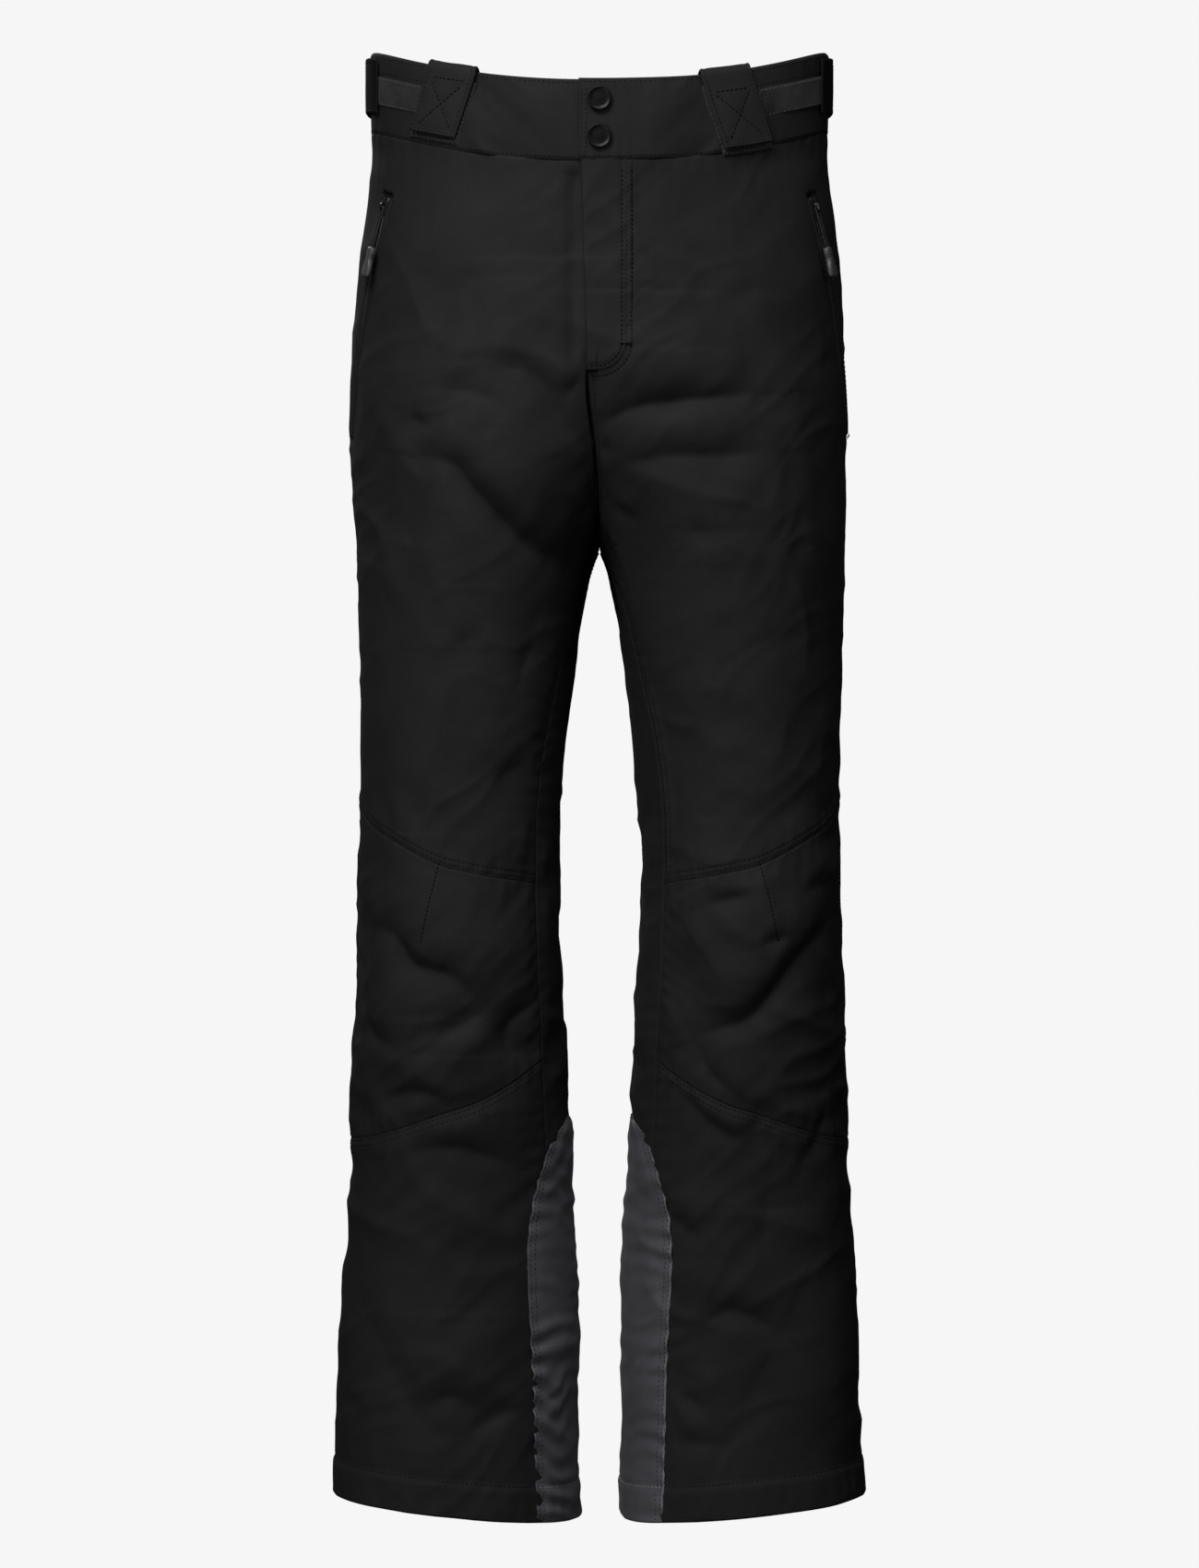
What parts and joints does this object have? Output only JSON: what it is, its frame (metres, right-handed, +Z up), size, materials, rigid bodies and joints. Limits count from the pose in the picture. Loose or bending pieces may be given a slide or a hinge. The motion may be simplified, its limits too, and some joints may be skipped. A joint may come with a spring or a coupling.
{
  "type": "ski pants",
  "caption": "Insulated ski trousers with press-stud waist tab, fly flap, curved pocket zips, suspender tabs, waist adjusters, shaped knees, kick patches and snow gaiters",
  "frame": {"origin": "middle of the waist opening, halfway down the waistband at the sides", "axes": "+Z up along the legs, +X towards the wearer's left, -Y towards the wearer's front"},
  "size_m": [0.3942, 0.269, 1.0792],
  "materials": {
    "shell_cloth": "matte woven black",
    "satin_cloth": "dense satin weave, charcoal",
    "lining_cloth": "smooth taffeta",
    "hook_and_loop": "hook and loop pile",
    "zip_tape": "zip tape with a nylon coil",
    "enamelled_metal": "gloss black enamel",
    "zip_metal": "dark nickel",
    "moulded_rubber": "matte soft moulding",
    "cord": "braided cord and ribbon"
  },
  "bodies": {
    "hips": {"waistband_front_left": "shell_cloth", "waistband_front_right": "shell_cloth", "waistband_back": "shell_cloth", "front_panel_left": "shell_cloth", "back_panel_left": "shell_cloth", "pocket_bag_left": "lining_cloth", "pocket_zip_tape_left": "zip_tape", "suspender_base_left": "hook_and_loop", "loop_panel_left": "hook_and_loop", "belt_loop_left": "shell_cloth", "front_panel_right": "shell_cloth", "back_panel_right": "shell_cloth", "pocket_bag_right": "lining_cloth", "pocket_zip_tape_right": "zip_tape", "suspender_base_right": "hook_and_loop", "loop_panel_right": "hook_and_loop", "belt_loop_right": "shell_cloth", "snap_stud_upper": "zip_metal", "snap_stud_lower": "zip_metal", "fly_zip_tape": "zip_tape", "fly_underlap": "shell_cloth", "hips_lining": "lining_cloth", "hanger_loop": "cord"},
    "waist_flap": {"waist_tab": "shell_cloth", "fly_flap": "shell_cloth", "snap_cap_upper": "enamelled_metal", "snap_cap_lower": "enamelled_metal", "snap_socket_upper": "zip_metal", "snap_socket_lower": "zip_metal"},
    "fly_slider": {"fly_slider": "zip_metal", "fly_pull": "zip_metal"},
    "pocket_slider_left": {"pocket_slider_left": "zip_metal"},
    "pocket_pull_left": {"pocket_pull_cord_left": "cord", "pocket_pull_grip_left": "moulded_rubber"},
    "suspender_tab_left": {"suspender_tab_left": "shell_cloth", "suspender_hook_left": "hook_and_loop"},
    "adjuster_tab_left": {"adjuster_tab_left": "shell_cloth", "adjuster_hook_left": "hook_and_loop"},
    "thigh_left": {"thigh_front_left": "shell_cloth", "thigh_back_left": "shell_cloth"},
    "shin_left": {"knee_panel_left": "shell_cloth", "shin_front_left": "shell_cloth", "shin_back_left": "shell_cloth", "kick_patch_left": "satin_cloth", "snow_gaiter_left": "lining_cloth"},
    "pocket_slider_right": {"pocket_slider_right": "zip_metal"},
    "pocket_pull_right": {"pocket_pull_cord_right": "cord", "pocket_pull_grip_right": "moulded_rubber"},
    "suspender_tab_right": {"suspender_tab_right": "shell_cloth", "suspender_hook_right": "hook_and_loop"},
    "adjuster_tab_right": {"adjuster_tab_right": "shell_cloth", "adjuster_hook_right": "hook_and_loop"},
    "thigh_right": {"thigh_front_right": "shell_cloth", "thigh_back_right": "shell_cloth"},
    "shin_right": {"knee_panel_right": "shell_cloth", "shin_front_right": "shell_cloth", "shin_back_right": "shell_cloth", "kick_patch_right": "satin_cloth", "snow_gaiter_right": "lining_cloth"}
  },
  "joints": [
    {"name": "waist_tab_hinge", "type": "hinge", "parent": "hips", "child": "waist_flap", "pos_m": [0.0205, -0.10924, -0.00276], "axis": [0, 0.0446, 0.999], "range_deg": [0, 100]},
    {"name": "fly_slider_slide", "type": "slide", "parent": "hips", "child": "fly_slider", "axis": [0, -0.0446, -0.999], "range_m": [0, 0.1]},
    {"name": "pocket_slider_left_swing", "type": "hinge", "parent": "hips", "child": "pocket_slider_left", "pos_m": [-0.4622, 0.20678, -0.21671], "axis": [0.3231, 0.9075, 0.2683], "range_deg": [0, 13.7]},
    {"name": "pocket_pull_left_hinge", "type": "hinge", "parent": "pocket_slider_left", "child": "pocket_pull_left", "pos_m": [0.15804, -0.05192, -0.08852], "axis": [-0.3231, -0.9075, -0.2683], "range_deg": [0, 100]},
    {"name": "suspender_tab_left_hinge", "type": "hinge", "parent": "hips", "child": "suspender_tab_left", "pos_m": [0.09639, -0.08048, 0.01061], "axis": [-0.9363, -0.3511, 0], "range_deg": [0, 120]},
    {"name": "adjuster_tab_left_hinge", "type": "hinge", "parent": "hips", "child": "adjuster_tab_left", "pos_m": [0.13316, 0.07926, -0.00082], "axis": [0, 0, 1], "range_deg": [0, 100]},
    {"name": "thigh_left_hinge", "type": "hinge", "parent": "hips", "child": "thigh_left", "pos_m": [0, -0.10717, -0.35], "axis": [-1, 0, 0], "range_deg": [0, 60], "stiffness_Nm_per_rad": 1.2, "springref_deg": -28.65},
    {"name": "shin_left_hinge", "type": "hinge", "parent": "thigh_left", "child": "shin_left", "pos_m": [0, 0.077, -0.637], "axis": [1, 0, 0], "range_deg": [0, 75], "stiffness_Nm_per_rad": 0.6, "springref_deg": -28.65},
    {"name": "pocket_slider_right_swing", "type": "hinge", "parent": "hips", "child": "pocket_slider_right", "pos_m": [0.4622, 0.20678, -0.21671], "axis": [0.3231, -0.9075, -0.2683], "range_deg": [0, 13.7]},
    {"name": "pocket_pull_right_hinge", "type": "hinge", "parent": "pocket_slider_right", "child": "pocket_pull_right", "pos_m": [-0.15804, -0.05192, -0.08852], "axis": [-0.3231, 0.9075, 0.2683], "range_deg": [0, 100]},
    {"name": "suspender_tab_right_hinge", "type": "hinge", "parent": "hips", "child": "suspender_tab_right", "pos_m": [-0.09639, -0.08048, 0.01061], "axis": [-0.9363, 0.3511, 0], "range_deg": [0, 120]},
    {"name": "adjuster_tab_right_hinge", "type": "hinge", "parent": "hips", "child": "adjuster_tab_right", "pos_m": [-0.13316, 0.07926, -0.00082], "axis": [0, 0, -1], "range_deg": [0, 100]},
    {"name": "thigh_right_hinge", "type": "hinge", "parent": "hips", "child": "thigh_right", "pos_m": [0, -0.10717, -0.35], "axis": [-1, 0, 0], "range_deg": [0, 60], "stiffness_Nm_per_rad": 1.2, "springref_deg": -28.65},
    {"name": "shin_right_hinge", "type": "hinge", "parent": "thigh_right", "child": "shin_right", "pos_m": [0, 0.077, -0.637], "axis": [1, 0, 0], "range_deg": [0, 75], "stiffness_Nm_per_rad": 0.6, "springref_deg": -28.65}
  ]
}
